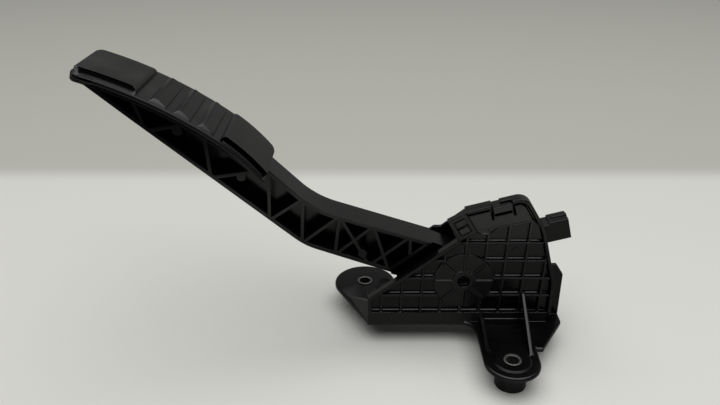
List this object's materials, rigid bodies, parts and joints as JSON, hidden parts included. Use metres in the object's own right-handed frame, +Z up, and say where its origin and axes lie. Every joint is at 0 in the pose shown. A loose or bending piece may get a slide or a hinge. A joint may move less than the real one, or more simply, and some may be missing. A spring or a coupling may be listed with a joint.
{
  "type": "accelerator pedal",
  "caption": "Electronic accelerator pedal: ribbed plastic housing with bolt ears and a connector, sprung truss arm on a pivot shaft, and a ridged foot pad.",
  "frame": {"origin": "axis of the front bolt bush where it meets the mounting face", "axes": "+X towards the connector end, +Y away from the ribbed wall, +Z up from the mounting face"},
  "size_m": [0.2745, 0.1207, 0.1747],
  "materials": {
    "housing_plastic": "satin black glass-filled moulding",
    "arm_plastic": "satin black glass-filled moulding",
    "pad_rubber": "satin black moulded pad",
    "shaft_steel": "ground steel",
    "bush_plastic": "natural acetal",
    "bush_steel": "rolled zinc-plated steel",
    "spring_steel": "oiled spring steel",
    "stop_rubber": "moulded rubber",
    "board": "green solder mask",
    "chip": "epoxy package",
    "rotor_metal": "stamped sheet",
    "connector_plastic": "black moulded plastic",
    "terminal_metal": "tinned brass"
  },
  "bodies": {
    "base": {"housing": "housing_plastic", "rear_cover": "housing_plastic", "near_bush": "bush_plastic", "far_bush": "bush_plastic", "mount_bush_front": "bush_steel", "mount_bush_left": "bush_steel", "mount_bush_right": "bush_steel", "spring_seat": "bush_plastic", "outer_spring": "spring_steel", "inner_spring": "spring_steel", "idle_stop": "stop_rubber", "full_stop": "stop_rubber", "sensor_board": "board", "sensor_chip_a": "chip", "sensor_chip_b": "chip", "connector": "connector_plastic", "terminal_1": "terminal_metal", "terminal_2": "terminal_metal", "terminal_3": "terminal_metal", "terminal_4": "terminal_metal", "terminal_5": "terminal_metal", "terminal_6": "terminal_metal"},
    "pedal": {"pedal_arm": "arm_plastic", "pedal_pad": "pad_rubber", "pivot_shaft": "shaft_steel", "spring_carrier": "bush_plastic", "friction_shoe": "bush_plastic", "sensor_rotor": "rotor_metal"}
  },
  "joints": [
    {"name": "arm_pivot", "type": "hinge", "parent": "base", "child": "pedal", "pos_m": [-0.024, 0.058, 0.044], "axis": [0, -1, 0], "range_deg": [0, 16], "stiffness_Nm_per_rad": 11, "springref_deg": -18.33, "deforming": ["outer_spring", "inner_spring"]}
  ]
}
